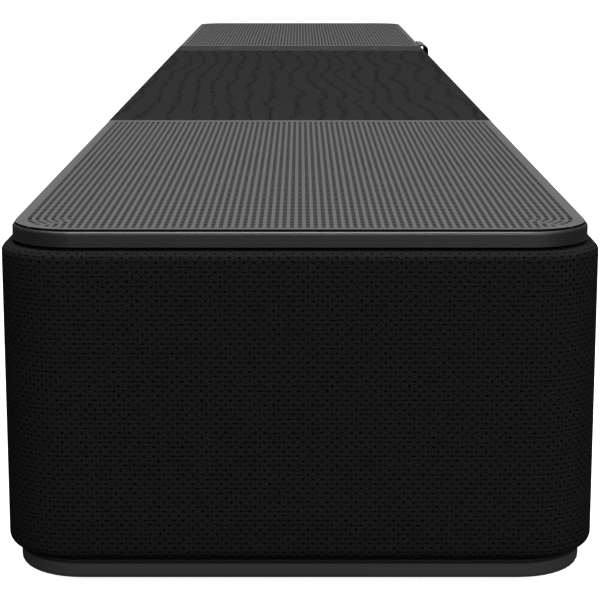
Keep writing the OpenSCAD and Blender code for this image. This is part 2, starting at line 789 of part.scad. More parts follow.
module short_screws() {
  color("#8c8c8c") {
    for (side = [left, right]) {
      woofer_at(side) square_places(w_screw) translate([0, 0, w_flange_t]) screw(short_head_h, 7);
      driver_at(side) square_places(d_screw) translate([0, 0, d_flange_t]) screw(short_head_h, 7);
    }
    for (x = [-1, 1], z = [-1, 1])
      rear_at(x * panel_screw[0], recess_z + z * panel_screw[1], cab_d / 2 + panel_t - 1.2) screw(short_head_h, 7);
  }
}

module wall_mount_inserts() {
  color("#c8a24a") for (side = [left, right])
    rear_at(side * insert_spacing / 2, insert_z, cab_d / 2 - insert_l) difference() {
      cylinder(insert_l, insert_r, insert_r);
      translate([0, 0, -eps]) cylinder(insert_l + 2 * eps, insert_bore_r, insert_bore_r);
    }
}

base_plate();
cabinet();
top_deck();
top_trim();
grille(left);  // left_grille
grille(right);  // right_grille
wood_panel();
control_strip();
button(0);  // volume_up_button
button(1);  // volume_down_button
button(2);  // source_button
button(3);  // power_button
control_board();
tact_switches();
badge_tab();
fabric_wrap();
rear_panel();
power_inlet();
power_inlet_pins();
hdmi_port();
optical_port();
usb_port();
sub_out_jack();
main_board();
heatsink();
power_board();
transformer();
ribbon_cable();
speaker_leads();
status_light_board();
status_lens();
foot(left, front);  // foot_front_left
foot(right, front);  // foot_front_right
foot(left, rear);  // foot_rear_left
foot(right, rear);  // foot_rear_right
long_screws();
short_screws();
wall_mount_inserts();
woofer_basket(left);  // left_woofer_basket
woofer_magnet(left);  // left_woofer_magnet
woofer_surround(left);  // left_woofer_surround
woofer_spider(left);  // left_woofer_spider
woofer_voice_coil(left);  // left_woofer_voice_coil
woofer_cone(left);  // left_woofer_cone
woofer_dust_cap(left);  // left_woofer_dust_cap
woofer_basket(right);  // right_woofer_basket
woofer_magnet(right);  // right_woofer_magnet
woofer_surround(right);  // right_woofer_surround
woofer_spider(right);  // right_woofer_spider
woofer_voice_coil(right);  // right_woofer_voice_coil
woofer_cone(right);  // right_woofer_cone
woofer_dust_cap(right);  // right_woofer_dust_cap
driver_frame(left);  // left_driver_frame
driver_magnet(left);  // left_driver_magnet
driver_surround(left);  // left_driver_surround
driver_cone(left);  // left_driver_cone
driver_frame(right);  // right_driver_frame
driver_magnet(right);  // right_driver_magnet
driver_surround(right);  // right_driver_surround
driver_cone(right);  // right_driver_cone
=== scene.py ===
"""Looks for the soundbar: cloth, slotted grilles, stained wood, plastics and rear sockets, in metres."""
import json
import math

import bmesh
import bpy
from mathutils import Matrix, Vector


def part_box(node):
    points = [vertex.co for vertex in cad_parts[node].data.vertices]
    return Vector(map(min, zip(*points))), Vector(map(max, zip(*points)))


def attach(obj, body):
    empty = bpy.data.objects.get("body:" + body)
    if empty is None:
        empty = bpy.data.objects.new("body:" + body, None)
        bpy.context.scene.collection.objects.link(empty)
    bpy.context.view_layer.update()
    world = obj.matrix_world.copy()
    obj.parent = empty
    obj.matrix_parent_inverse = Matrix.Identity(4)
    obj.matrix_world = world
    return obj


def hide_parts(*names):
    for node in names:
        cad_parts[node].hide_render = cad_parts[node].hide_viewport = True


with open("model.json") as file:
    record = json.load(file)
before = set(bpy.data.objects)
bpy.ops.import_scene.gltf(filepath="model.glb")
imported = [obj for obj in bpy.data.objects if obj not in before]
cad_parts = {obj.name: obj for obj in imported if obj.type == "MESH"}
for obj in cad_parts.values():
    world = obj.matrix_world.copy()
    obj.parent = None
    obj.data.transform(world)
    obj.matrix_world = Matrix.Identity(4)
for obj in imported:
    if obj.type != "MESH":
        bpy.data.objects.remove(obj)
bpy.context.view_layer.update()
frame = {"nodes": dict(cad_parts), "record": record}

MM = 0.001
ROOT = "soundbar"
SIDES = (-1, 1)


# ---------- measures, from the CAD frame ----------

def size_of(node):
    """A node's length, depth and height."""
    low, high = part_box(node)
    return tuple(high - low)


TRIM_LOW, TRIM_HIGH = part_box("top_trim")
CLOTH_LOW, CLOTH_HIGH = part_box("fabric_wrap")
WOOD_LOW, WOOD_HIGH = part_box("wood_panel")
STRIP_LOW, STRIP_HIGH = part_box("control_strip")
TAB_LOW, TAB_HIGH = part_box("badge_tab")
PANEL_LOW, PANEL_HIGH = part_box("rear_panel")

PLATE_L = TRIM_HIGH.x - TRIM_LOW.x
PLATE_D = TRIM_HIGH.y - TRIM_LOW.y
PLATE_R = 13.1 * MM
TOP_Z = WOOD_HIGH.z
SHEET_Z = WOOD_LOW.z
SHEET_T = TOP_Z - SHEET_Z
RIM_W = 0.6 * MM                        # the trim's rim beside a grille
GRILLE_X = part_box("right_grille")[0].x     # the inner edge of the right grille
WOOD_EDGE = 0.12 * MM                   # roundness of the sheets' edges
STRIP_EDGE = 0.06 * MM

SLOT_PITCH = 1.595 * MM
SLOT_W = 0.8 * MM
SLOT_ROWS = 35                          # rows on each side of the middle row
SLOT_END = 2.4 * MM                     # solid border at the plate's end
SLOT_START = GRILLE_X + 4.1 * MM        # the slots start behind a solid border
SLOT_EDGE = 0.05 * MM                   # roundness of the slots' edges
BAR_PITCH = 1.86 * MM                   # crossbars that divide the slots
BAR_W = 0.6 * MM
BAR_DROP = 0.08 * MM                    # how far the bars lie below the ribs
TURN_X = 338.4 * MM                     # centre of the outer rows' turn, from the middle
TURN_Y = 45.2 * MM
TURN_ANGLE = 47                         # how far the outer rows turn, in degrees
TURN_ROWS = range(30, SLOT_ROWS + 1)
STUB_GAP = 1.6 * MM                     # from the ends of the turned rows to the straight stubs
SPOKES = 5                              # crossbars of the turned rows
SPOKE_START = 6                         # the first one's angle from the straight crossbars, in degrees
SPOKE_STEP = 9.5
SPOKE_INNER = (2.4 * MM, 6.6 * MM)      # where even and odd spokes start, from the turn's centre

CLOTH_L = CLOTH_HIGH.x - CLOTH_LOW.x
CLOTH_D = CLOTH_HIGH.y - CLOTH_LOW.y
CLOTH_R = 14 * MM
CLOTH_T = 1.2 * MM
CLOTH_GAP = 0.03 * MM                   # from the cloth to the cabinet
TOP_ROUND = 1.6 * MM                    # roundness of the cloth at its upper rim
LOW_ROUND = 2.3 * MM                    # and at its lower rim
TOP_HEM = 5.4 * MM                      # how far the cloth reaches inwards over the cabinet
BOTTOM_HEM = 3.3 * MM                   # and below it
STITCH = 1.949 * MM                     # pitch of the cloth's pinholes

BUTTONS = {
    "power_button": ("power_key", "power"),
    "source_button": ("source_key", "source"),
    "volume_down_button": ("volume_down_key", "minus"),
    "volume_up_button": ("volume_up_key", "plus"),
}
BUTTON_W = 20.2 * MM
BUTTON_R = 3.1 * MM
BUTTON_GAP = 0.02 * MM                  # round a key cap
BUTTON_LIP = 0.8 * MM                   # height and reach of the lip that holds a cap in
BUTTON_EDGE = 0.06 * MM                 # roundness of a cap's edge
BUTTON_DISH = 0.03 * MM                 # how far a cap's middle is hollowed

TAB_T = 0.8 * MM
TAB_BEND = 3 * MM
TAB_FOOT = 2.4 * MM                     # how far the tab's inner end reaches below the sheets

CAMERA_BACK = 338.2 * MM                # from the plate's left end to the camera
CAMERA_UP = 60.6 * MM                   # from the sheets' top to the camera
CAMERA_TILT = 0.1744                    # how far the camera looks down, in radians


# ---------- mesh helpers ----------

def outline(length, depth, radius, grow=0.0, steps=16):
    """A rounded rectangle's points, anticlockwise, grown outwards by grow."""
    radius += grow
    across, along = length / 2 + grow - radius, depth / 2 + grow - radius
    points = []
    for quarter, (sx, sy) in enumerate(((1, 1), (-1, 1), (-1, -1), (1, -1))):
        for k in range(steps + 1):
            angle = math.radians(90 * (quarter + k / steps))
            points.append((sx * across + radius * math.cos(angle), sy * along + radius * math.sin(angle)))
    return points


def arc(centre, radius, start, stop, steps):
    """Points along an arc, its ends included, with the angles in degrees."""
    angles = [math.radians(start + (stop - start) * k / steps) for k in range(steps + 1)]
    return [(centre[0] + radius * math.cos(a), centre[1] + radius * math.sin(a)) for a in angles]


def shifted(points, x, y):
    return [(px + x, py + y) for px, py in points]


def rectangle(x_low, x_high, y_low, y_high):
    return [(x_low, y_low), (x_high, y_low), (x_high, y_high), (x_low, y_high)]


def mesh_piece(name, points, faces, sharp=35):
    """A new object from points and faces, smooth except where its faces meet at more than sharp degrees."""
    mesh = bpy.data.meshes.new(name)
    mesh.from_pydata([tuple(p) for p in points], [], faces)
    return finished(bpy.data.objects.new(name, mesh), sharp)


def finished(piece, sharp=35):
    """Puts a piece in the scene with its faces turned outwards and its sharp edges marked."""
    if piece.name not in bpy.context.scene.collection.objects:
        bpy.context.scene.collection.objects.link(piece)
    build = bmesh.new()
    build.from_mesh(piece.data)
    bmesh.ops.remove_doubles(build, verts=build.verts, dist=0.002 * MM)
    bmesh.ops.recalc_face_normals(build, faces=build.faces)
    build.to_mesh(piece.data)
    build.free()
    piece.data.shade_smooth()
    piece.data.set_sharp_from_angle(angle=math.radians(sharp))
    return piece


def ring_faces(rings, count, closed):
    """Quads between rings of count points each; a closed stack joins its last ring to its first."""
    faces = []
    for r in range(rings if closed else rings - 1):
        low, high = r * count, (r + 1) % rings * count
        for k in range(count):
            after = (k + 1) % count
            faces.append((low + k, low + after, high + after, high + k))
    return faces


def capped(name, size, profile):
    """A solid whose side follows profile, from its underside to its top, round a rounded rectangle."""
    steps = 8
    points = []
    for out, z in profile:
        points += [(x, y, z) for x, y in outline(*size, out, steps)]
    count = 4 * (steps + 1)
    faces = ring_faces(len(profile), count, closed=False)
    last = (len(profile) - 1) * count
    faces += [tuple(range(count)), tuple(range(last, last + count))]
    return mesh_piece(name, points, faces)


def sheet_plate(name, loops, z_low, z_high, edge):
    """A flat plate filled between closed loops, outlines and their holes, its edges rounded by edge."""
    curve = bpy.data.curves.new(name, "CURVE")
    curve.dimensions = "2D"
    curve.fill_mode = "BOTH"
    curve.extrude = (z_high - z_low) / 2 - edge
    curve.bevel_depth = edge
    curve.bevel_resolution = 1
    curve.offset = -edge
    for loop in loops:
        spline = curve.splines.new("POLY")
        spline.points.add(len(loop) - 1)
        for point, (x, y) in zip(spline.points, loop):
            point.co = (x, y, 0, 1)
        spline.use_cyclic_u = True
    form = bpy.data.objects.new(name + "_form", curve)
    mesh = bpy.data.meshes.new_from_object(form)
    bpy.data.objects.remove(form)
    bpy.data.curves.remove(curve)
    mesh.name = name
    mesh.transform(Matrix.Translation((0, 0, (z_low + z_high) / 2)))
    mesh.materials.clear()
    return finished(bpy.data.objects.new(name, mesh), sharp=20)


def box_geometry(centre, half, turn=0.0):
    """A box's points and faces, turned about its own upright axis."""
    signs = [(sx, sy, sz) for sz in SIDES for sy in SIDES for sx in SIDES]
    corners = [Vector((sx * half[0], sy * half[1], sz * half[2])) for sx, sy, sz in signs]
    spin = Matrix.Rotation(turn, 3, "Z")
    points = [Vector(centre) + spin @ corner for corner in corners]
    faces = [(0, 2, 3, 1), (4, 5, 7, 6), (0, 1, 5, 4), (2, 6, 7, 3), (0, 4, 6, 2), (1, 3, 7, 5)]
    return points, faces


def boxes_piece(name, boxes):
    """One object from several boxes, each as the values of box_geometry."""
    points, faces = [], []
    for box in boxes:
        more_points, more_faces = box_geometry(*box)
        faces += [tuple(i + len(points) for i in face) for face in more_faces]
        points += more_points
    return mesh_piece(name, points, faces, sharp=20)


def joined(target, *others):
    """Adds the others' meshes and materials to target."""
    with bpy.context.temp_override(active_object=target, selected_editable_objects=[target, *others]):
        bpy.ops.object.join()
    return target


def paint(piece, *materials):
    piece.data.materials.clear()
    for material in materials:
        piece.data.materials.append(material)
    return piece


def paint_faces(piece, material, chosen):
    """Gives the faces that chosen picks, by centre and normal, another material."""
    piece.data.materials.append(material)
    index = len(piece.data.materials) - 1
    for face in piece.data.polygons:
        if chosen(face.center, face.normal):
            face.material_index = index


def stands_for(piece, node, body=ROOT):
    """Puts a piece in a CAD node's place, on its body, and hides the node."""
    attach(piece, body)
    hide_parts(node)


# ---------- material helpers ----------

def new_material(name, **values):
    """A material with one Principled shader, whose even values are set on its own sockets."""
    material = bpy.data.materials.new(name)
    material.use_nodes = True
    tree = material.node_tree
    shader = tree.nodes["Principled BSDF"]
    for socket, value in values.items():
        shader.inputs[socket.replace("_", " ")].default_value = value
    return material, tree, shader


def place(tree, scale=(1, 1, 1), source="Object"):
    """Coordinates stretched by scale: object coordinates in metres, or the map named source."""
    if source == "Object":
        start = tree.nodes.new("ShaderNodeTexCoord").outputs["Object"]
    else:
        holder = tree.nodes.new("ShaderNodeUVMap")
        holder.uv_map = source
        start = holder.outputs["UV"]
    mapping = tree.nodes.new("ShaderNodeMapping")
    mapping.inputs["Scale"].default_value = scale
    tree.links.new(start, mapping.inputs["Vector"])
    return mapping.outputs["Vector"]


def noise(tree, vector, scale, detail=2.0, roughness=0.5):
    node = tree.nodes.new("ShaderNodeTexNoise")
    node.inputs["Scale"].default_value = scale
    node.inputs["Detail"].default_value = detail
    node.inputs["Roughness"].default_value = roughness
    tree.links.new(vector, node.inputs["Vector"])
    return node.outputs["Fac"]


def calculate(tree, operation, *values):
    """A Math node on sockets or numbers."""
    node = tree.nodes.new("ShaderNodeMath")
    node.operation = operation
    for socket, value in zip(node.inputs, values):
        if isinstance(value, bpy.types.NodeSocket):
            tree.links.new(value, socket)
        else:
            socket.default_value = value
    return node.outputs["Value"]


def remap(tree, value, low, high, to_low=0.0, to_high=1.0):
    """value from low..high to to_low..to_high, smoothed and clamped."""
    node = tree.nodes.new("ShaderNodeMapRange")
    node.interpolation_type = "SMOOTHSTEP"
    for name, number in zip(("From Min", "From Max", "To Min", "To Max"), (low, high, to_low, to_high)):
        node.inputs[name].default_value = number
    tree.links.new(value, node.inputs["Value"])
    return node.outputs["Result"]


def separate(tree, vector):
    node = tree.nodes.new("ShaderNodeSeparateXYZ")
    tree.links.new(vector, node.inputs["Vector"])
    return node.outputs["X"], node.outputs["Y"], node.outputs["Z"]


def shade(tree, value, dark, light):
    """A colour between two greys or colours, as value goes from 0 to 1."""
    node = tree.nodes.new("ShaderNodeValToRGB")
    for element, colour in zip(node.color_ramp.elements, (dark, light)):
        colour = (colour,) * 3 if isinstance(colour, float) else colour
        element.color = (*colour, 1)
    tree.links.new(value, node.inputs["Fac"])
    return node.outputs["Color"]


def centred(tree, value, reach):
    """A value round one half, moved to run reach / 2 below and above zero."""
    return calculate(tree, "MULTIPLY", calculate(tree, "SUBTRACT", value, 0.5), reach)


def shades_of(tone, *factors):
    """A colour made darker or lighter by each factor."""
    return [tuple(channel * factor for channel in tone) for factor in factors]


def feed(tree, shader, **values):
    """Links values to the shader's sockets of those names."""
    for socket, value in values.items():
        tree.links.new(value, shader.inputs[socket.replace("_", " ")])


def relief(tree, shader, height, depth):
    """A bump of that depth in metres."""
    node = tree.nodes.new("ShaderNodeBump")
    node.inputs["Distance"].default_value = depth
    node.inputs["Strength"].default_value = 1.0
    tree.links.new(height, node.inputs["Height"])
    feed(tree, shader, Normal=node.outputs["Normal"])


# ---------- materials ----------

def plastic(name, tone, roughness=0.5, specular=0.3, grain=0.35, depth=0.012):
    """Moulded plastic with a spark-eroded grain, whose size and depth are in millimetres."""
    material, tree, shader = new_material(name, Specular_IOR_Level=specular)
    vector = place(tree)
    fine = noise(tree, vector, 1 / (grain * MM), 3)
    broad = noise(tree, vector, 30, 2)
    layers = [calculate(tree, "MULTIPLY", layer, share) for layer, share in ((fine, 0.6), (broad, 0.4))]
    mottle = calculate(tree, "ADD", *layers)
    feed(tree, shader, Base_Color=shade(tree, mottle, *shades_of(tone, 0.82, 1.18)))
    feed(tree, shader, Roughness=remap(tree, fine, 0.3, 0.7, roughness - 0.05, roughness + 0.07))
    relief(tree, shader, fine, depth * MM)
    return material


def metal(name, tone, roughness=0.35, brush=(40, 900, 900)):
    """Bare metal with fine drawn streaks."""
    material, tree, shader = new_material(name, Metallic=1.0)
    streaks = noise(tree, place(tree, brush), 1.0, 3)
    feed(tree, shader, Base_Color=shade(tree, streaks, *shades_of(tone, 0.85, 1.12)))
    feed(tree, shader, Roughness=remap(tree, streaks, 0.3, 0.7, roughness - 0.08, roughness + 0.1))
    relief(tree, shader, streaks, 0.004 * MM)
    return material


def powder_paint(name, tone, roughness=0.5, specular=0.3):
    """Satin powder paint with a faint orange peel."""
    material, tree, shader = new_material(name, Specular_IOR_Level=specular)
    vector = place(tree)
    peel = noise(tree, vector, 1300, 2)
    dust = noise(tree, vector, 5200, 2)
    feed(tree, shader, Base_Color=shade(tree, dust, *shades_of(tone, 0.88, 1.12)))
    feed(tree, shader, Roughness=remap(tree, dust, 0.3, 0.7, roughness - 0.06, roughness + 0.08))
    relief(tree, shader, peel, 0.01 * MM)
    return material


def speaker_cloth():
    """Knitted cloth: a centred lattice of flat pinholes between rows of thread."""
    material, tree, shader = new_material("speaker_cloth", Roughness=0.9, Specular_IOR_Level=0.05)
    vector = place(tree, source="stitches")
    turns = place(tree, (2 * math.pi,) * 3, source="stitches")
    swing = centred(tree, noise(tree, vector, 0.9, 2), 1.3)
    u, v, _ = separate(tree, turns)
    across = calculate(tree, "COSINE", calculate(tree, "ADD", u, swing))
    up = calculate(tree, "COSINE", calculate(tree, "SUBTRACT", v, swing))
    lattice = calculate(tree, "MULTIPLY", across, calculate(tree, "POWER", up, 3.0))
    tension = centred(tree, noise(tree, vector, 1.7, 1), 0.6)
    hole = remap(tree, calculate(tree, "ADD", lattice, tension), 0.25, 0.85)
    weft = remap(tree, calculate(tree, "ABSOLUTE", up), 0.9, 1.0)
    warp = remap(tree, calculate(tree, "ABSOLUTE", across), 0.93, 1.0)
    loose = remap(tree, noise(tree, place(tree, (0.5, 3.0, 1.0), "stitches"), 1.0, 1), 0.4, 0.65)
    rows = calculate(tree, "MULTIPLY", weft, loose)
    columns = calculate(tree, "MULTIPLY", warp, 0.3)
    gaps = calculate(tree, "MAXIMUM", rows, columns)
    low = calculate(tree, "MAXIMUM", hole, calculate(tree, "MULTIPLY", gaps, 0.6))
    fibre = noise(tree, vector, 5, 3, 0.7)
    raised = calculate(tree, "SUBTRACT", 1.0, low)
    lit = calculate(tree, "MULTIPLY", raised, remap(tree, fibre, 0.3, 0.7, 0.45, 1.0))
    feed(tree, shader, Base_Color=shade(tree, lit, (0.0006,) * 3, (0.034, 0.034, 0.0342)))
    height = calculate(tree, "ADD", lit, calculate(tree, "MULTIPLY", fibre, 0.25))
    relief(tree, shader, height, 0.25 * MM)
    return material


def stained_oak():
    """Black-stained open-pored oak: wavy rows of dark pores along X."""
    material, tree, shader = new_material("stained_oak", Specular_IOR_Level=0.25)
    ring_width = 7.0 * MM
    bend = centred(tree, noise(tree, place(tree, (12, 24, 16)), 1.0, 1), 20 * MM)
    ripple = centred(tree, noise(tree, place(tree, (45, 120, 70)), 1.0, 2), 4 * MM)
    _, y, _ = separate(tree, place(tree))
    place_in_ring = calculate(tree, "ADD", calculate(tree, "ADD", y, bend), ripple)
    rings = calculate(tree, "SINE", calculate(tree, "MULTIPLY", place_in_ring, 2 * math.pi / ring_width))
    early = remap(tree, rings, 0.35, 1.0)
    pores = remap(tree, noise(tree, place(tree, (170, 1100, 400)), 1.0, 2), 0.45, 0.55)
    stray = remap(tree, noise(tree, place(tree, (60, 1000, 400)), 1.0, 2), 0.6, 0.7)
    depth = calculate(tree, "ADD", calculate(tree, "MULTIPLY", pores, 0.85), 0.15)
    open_pores = calculate(tree, "MULTIPLY", early, depth)
    marks = calculate(tree, "MAXIMUM", open_pores, calculate(tree, "MULTIPLY", stray, 0.6))
    feed(tree, shader, Base_Color=shade(tree, marks, (0.0172, 0.017, 0.0167), (0.0015, 0.0015, 0.0015)))
    feed(tree, shader, Roughness=remap(tree, marks, 0.0, 1.0, 0.55, 0.8))
    relief(tree, shader, calculate(tree, "SUBTRACT", 1.0, marks), 0.1 * MM)
    return material


def smoked_lens():
    """Dark translucent plastic with a faint haze."""
    material, tree, shader = new_material("smoked_lens", Specular_IOR_Level=0.5, Coat_Weight=0.2)
    haze = noise(tree, place(tree), 400, 3)
    feed(tree, shader, Base_Color=shade(tree, haze, 0.012, 0.03))
    feed(tree, shader, Roughness=remap(tree, haze, 0.3, 0.7, 0.18, 0.3))
    return material


def circuit_board():
    """Green solder mask over faint tracks."""
    material, tree, shader = new_material("circuit_board", Specular_IOR_Level=0.5)
    cells = tree.nodes.new("ShaderNodeTexVoronoi")
    cells.distance = "CHEBYCHEV"
    tree.links.new(place(tree, (260, 260, 260)), cells.inputs["Vector"])
    tracks = remap(tree, cells.outputs["Distance"], 0.34, 0.4)
    feed(tree, shader, Base_Color=shade(tree, tracks, (0.012, 0.09, 0.035), (0.03, 0.17, 0.07)))
    feed(tree, shader, Roughness=remap(tree, tracks, 0.0, 1.0, 0.45, 0.3))
    relief(tree, shader, tracks, 0.03 * MM)
    return material


def pulp(name, tone):
    """Pressed paper pulp or resin-stiffened cotton, with matted fibres."""
    material, tree, shader = new_material(name, Roughness=0.85, Specular_IOR_Level=0.2)
    fibres = noise(tree, place(tree), 900, 6, 0.75)
    feed(tree, shader, Base_Color=shade(tree, fibres, *shades_of(tone, 0.6, 1.3)))
    relief(tree, shader, fibres, 0.08 * MM)
    return material


def materials_by_slot():
    """One procedural material for each of the record's material slots."""
    return {
        "base_plastic": plastic("base_plastic", (0.065, 0.065, 0.066), 0.5, 0.35),
        "cabinet_plastic": plastic("cabinet_plastic", (0.02, 0.02, 0.02), 0.7, 0.1),
        "trim_plastic": plastic("trim_plastic", (0.018, 0.018, 0.0185), 0.46, 0.9),
        "grille_paint": powder_paint("grille_paint", (0.152, 0.152, 0.153)),
        "stained_wood": stained_oak(),
        "strip_plastic": plastic("strip_plastic", (0.045, 0.045, 0.046), 0.6, 0.25, 0.25),
        "tab_metal": powder_paint("tab_metal", (0.21, 0.21, 0.21)),
        "cloth": speaker_cloth(),
        "rear_plastic": plastic("rear_plastic", (0.02, 0.02, 0.021), 0.55),
        "socket_plastic": plastic("socket_plastic", (0.01, 0.01, 0.01), 0.4, 0.4, 0.5, 0.004),
        "socket_metal": metal("socket_metal", (0.55, 0.55, 0.56), 0.32),
        "gold_plate": metal("gold_plate", (0.75, 0.55, 0.25), 0.25),
        "circuit_board": circuit_board(),
        "heatsink_metal": metal("heatsink_metal", (0.5, 0.5, 0.52), 0.45, (900, 40, 900)),
        "transformer_tape": plastic("transformer_tape", (0.7, 0.5, 0.08), 0.4, 0.5, 0.8),
        "switch_metal": metal("switch_metal", (0.6, 0.6, 0.62), 0.3),
        "cable_sleeve": plastic("cable_sleeve", (0.35, 0.05, 0.04), 0.5, 0.4, 0.6, 0.006),
        "lens_smoke": smoked_lens(),
        "foot_rubber": plastic("foot_rubber", (0.012, 0.012, 0.012), 0.8, 0.15, 0.5, 0.03),
        "screw_steel": metal("screw_steel", (0.4, 0.4, 0.4), 0.38),
        "basket_steel": powder_paint("basket_steel", (0.2, 0.2, 0.21), 0.4, 0.5),
        "magnet_ferrite": plastic("magnet_ferrite", (0.08, 0.08, 0.09), 0.65, 0.4, 0.4, 0.02),
        "surround_rubber": plastic("surround_rubber", (0.012, 0.012, 0.012), 0.6, 0.3, 0.5, 0.01),
        "spider_cloth": pulp("spider_cloth", (0.55, 0.35, 0.1)),
        "coil_copper": metal("coil_copper", (0.6, 0.25, 0.1), 0.3, (300, 300, 4000)),
        "cone_paper": pulp("cone_paper", (0.03, 0.03, 0.035)),
        "cone_aluminium": metal("cone_aluminium", (0.4, 0.4, 0.42), 0.3, (700, 40, 700)),
    }


NODE_SLOTS = {part["node"]: part["material_slot"] for part in frame["record"]["subparts"]}
MATERIALS = materials_by_slot()
# Painted shade: a darker copy of the grille paint for the slot walls and the bars' sides.
SLOT_PAINTED_SHADE = powder_paint("slot_painted_shade", (0.02, 0.02, 0.0203), 0.6, 0.15)
# Painted light: a lighter copy of the grille paint for the bars' tops.
BAR_TOP_PAINTED_LIGHT = powder_paint("bar_top_painted_light", (0.17, 0.17, 0.171), 0.6, 0.2)
# Painted shade: near-black plastic on the sheets' cut edges, standing in for the shadowed gap beside the
# rim.
SHEET_EDGE_PAINTED_SHADE = plastic("sheet_edge_painted_shade", (0.004, 0.004, 0.004), 0.7, 0.1)
TAB_BLACK = powder_paint("tab_black", (0.004, 0.004, 0.004), 0.5, 0.15)
KEY_PRINT = powder_paint("key_print", (0.2, 0.2, 0.2), 0.6, 0.2)


# ---------- the cloth ----------

def cloth_section():
    """The cloth's closed section: up its outer face from the lower hem, then down against the cabinet."""
    low, high = CLOTH_LOW.z, CLOTH_HIGH.z
    outer = [(-BOTTOM_HEM, low)]
    outer += arc((-LOW_ROUND, low + LOW_ROUND), LOW_ROUND, -90, 0, 8)
    outer += [(0, low + (high - low) * k / 6) for k in range(1, 6)]
    outer += arc((-TOP_ROUND, high - TOP_ROUND), TOP_ROUND, 0, 90, 9)
    outer += [(-TOP_HEM, high)]
    wall, top, bottom = CLOTH_GAP - CLOTH_T, high - CLOTH_T + CLOTH_GAP, low + CLOTH_T - CLOTH_GAP
    inner = [(-TOP_HEM, top), (wall, top), (wall, bottom), (-BOTTOM_HEM, bottom)]
    return outer, inner


def cut(piece, *cutters):
    """Cuts the cutters out of a piece and removes them."""
    for cutter in cutters:
        modifier = piece.modifiers.new("cut", "BOOLEAN")
        modifier.operation = "DIFFERENCE"
        modifier.solver = "EXACT"
        modifier.object = cutter
    bpy.context.view_layer.update()
    shown = piece.evaluated_get(bpy.context.evaluated_depsgraph_get())
    mesh = bpy.data.meshes.new_from_object(shown)
    piece.modifiers.clear()
    piece.data = mesh
    for cutter in cutters:
        bpy.data.objects.remove(cutter)


def facing_back(cutter, x, y, z):
    """Turns a cutter built upwards round the origin so that it points along Y from that place."""
    cutter.data.transform(Matrix.Translation((x, y, z)) @ Matrix.Rotation(-math.pi / 2, 4, "X"))
    return cutter


def add_stitch_map(piece, outer, steps):
    """Counts stitches in a map: round the bar in its first coordinate, up the section in its second."""
    around = [0.0]
    loop = outline(CLOTH_L, CLOTH_D, CLOTH_R, 0, steps)
    for k, point in enumerate(loop):
        around.append(around[-1] + math.dist(point, loop[(k + 1) % len(loop)]))
    per_metre = round(around[-1] / STITCH) / around[-1]
    climb = [0.0]
    for before, after in zip(outer, outer[1:]):
        climb.append(climb[-1] + math.dist(before, after))
    count = len(loop)
    stitches = piece.data.uv_layers.new(name="stitches")
    for face in piece.data.polygons:
        columns = [piece.data.loops[i].vertex_index % count for i in face.loop_indices]
        wraps = max(columns) - min(columns) > 1
        for i, column in zip(face.loop_indices, columns):
            ring = min(piece.data.loops[i].vertex_index // count, len(outer) - 1)
            reach = around[count] if wraps and column == 0 else around[column]
            stitches.data[i].uv = (reach * per_metre, climb[ring] / STITCH)


def cloth_wrap():
    steps = 20
    outer, inner = cloth_section()
    points = []
    for out, z in outer + inner:
        points += [(x, y, z) for x, y in outline(CLOTH_L, CLOTH_D, CLOTH_R, out, steps)]
    mesh = bpy.data.meshes.new("cloth_wrap")
    mesh.from_pydata(points, [], ring_faces(len(outer) + len(inner), 4 * (steps + 1), closed=True))
    piece = bpy.data.objects.new("cloth_wrap", mesh)
    bpy.context.scene.collection.objects.link(piece)
    add_stitch_map(piece, outer, steps)
    paint(piece, MATERIALS["cloth"])
    clearance = 0.5 * MM
    window_r = 4.25 * MM
    reach = 4 * MM
    panel_l, _, panel_h = size_of("rear_panel")
    panel_z = (PANEL_LOW.z + PANEL_HIGH.z) / 2
    back = CLOTH_D / 2 - reach
    deep = [(0, 0), (0, 2 * reach)]
    window = capped("window_cutter", (panel_l + clearance, panel_h + clearance, window_r), deep)
    cutters = [facing_back(window, 0, back, panel_z)]
    insert_low, insert_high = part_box("wall_mount_inserts")
    insert_z = (insert_low.z + insert_high.z) / 2
    insert_r = (insert_high.z - insert_low.z) / 2 + clearance
    for side in SIDES:
        hole = capped("hole_cutter", (2 * insert_r, 2 * insert_r, insert_r), deep)
        cutters.append(facing_back(hole, side * (insert_high.x - insert_r + clearance), back, insert_z))
    cut(piece, *cutters)
    finished(piece, sharp=50)
    stands_for(piece, "fabric_wrap")
    return piece


# ---------- the top ----------

def rim_reach(y, inset):
    """How far along X a point at y may go inside the plate's rounded end, at that inset."""
    past = max(abs(y) - (PLATE_D / 2 - PLATE_R), 0)
    return PLATE_L / 2 - PLATE_R + math.sqrt(max((PLATE_R - inset) ** 2 - past ** 2, 0))


def turned_slot(radius, end):
    """One of the outer rows: a slot that runs straight to the turn, then bends towards the plate's end."""
    outer = arc((TURN_X, TURN_Y), radius + SLOT_W / 2, 90, 90 - TURN_ANGLE, 6)
    inner = arc((TURN_X, TURN_Y), radius - SLOT_W / 2, 90 - TURN_ANGLE, 90, 6)
    y = TURN_Y + radius
    loop = [(SLOT_START, y - SLOT_W / 2), (SLOT_START, y + SLOT_W / 2)] + outer + inner
    return [(px, end * py) for px, py in loop]


def slot_loops():
    """All the slots of the right grille."""
    loops = []
    for k in range(-SLOT_ROWS, SLOT_ROWS + 1):
        y, end = abs(k) * SLOT_PITCH, math.copysign(1, k)
        start, stop = SLOT_START, rim_reach(y, SLOT_END)
        if abs(k) in TURN_ROWS:
            loops.append(turned_slot(y - TURN_Y, end))
            start = TURN_X + y - TURN_Y + STUB_GAP
        if stop - start > SLOT_W:
            loops.append(rectangle(start, stop, end * y - SLOT_W / 2, end * y + SLOT_W / 2))
    return loops


